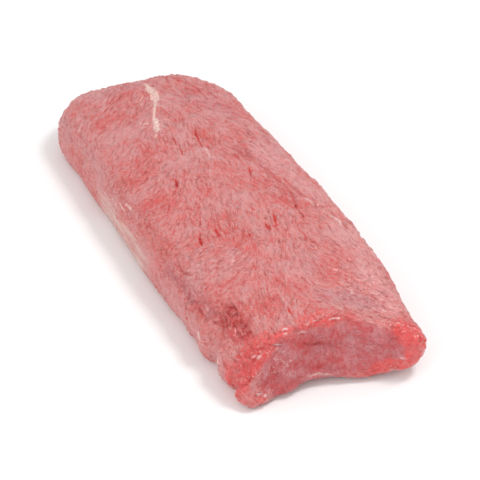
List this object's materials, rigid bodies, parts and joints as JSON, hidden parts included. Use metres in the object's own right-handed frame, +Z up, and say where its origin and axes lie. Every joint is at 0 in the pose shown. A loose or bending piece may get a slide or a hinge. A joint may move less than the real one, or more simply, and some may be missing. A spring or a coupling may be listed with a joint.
{
  "type": "boneless raw meat loin",
  "caption": "Boneless, trimmed loin of raw pale red meat: a long thick slab with a rounded tail, a dished cut end with a moist red rim and a seamed left edge, lying flat.",
  "frame": {"origin": "centre of the loin's plan, on the surface that it rests on", "axes": "+X along the loin from the rounded tail to the cut end, +Y across it to the side away from the strap seam, +Z up"},
  "size_m": [0.3598, 0.1458, 0.0558],
  "materials": {
    "raw_meat": "moist raw meat: pale red with fine whitish fibre bundles, a wet saturated red rim round the cut and a little pale fat and silverskin"
  },
  "bodies": {
    "root": {"loin": "raw_meat"}
  },
  "joints": []
}
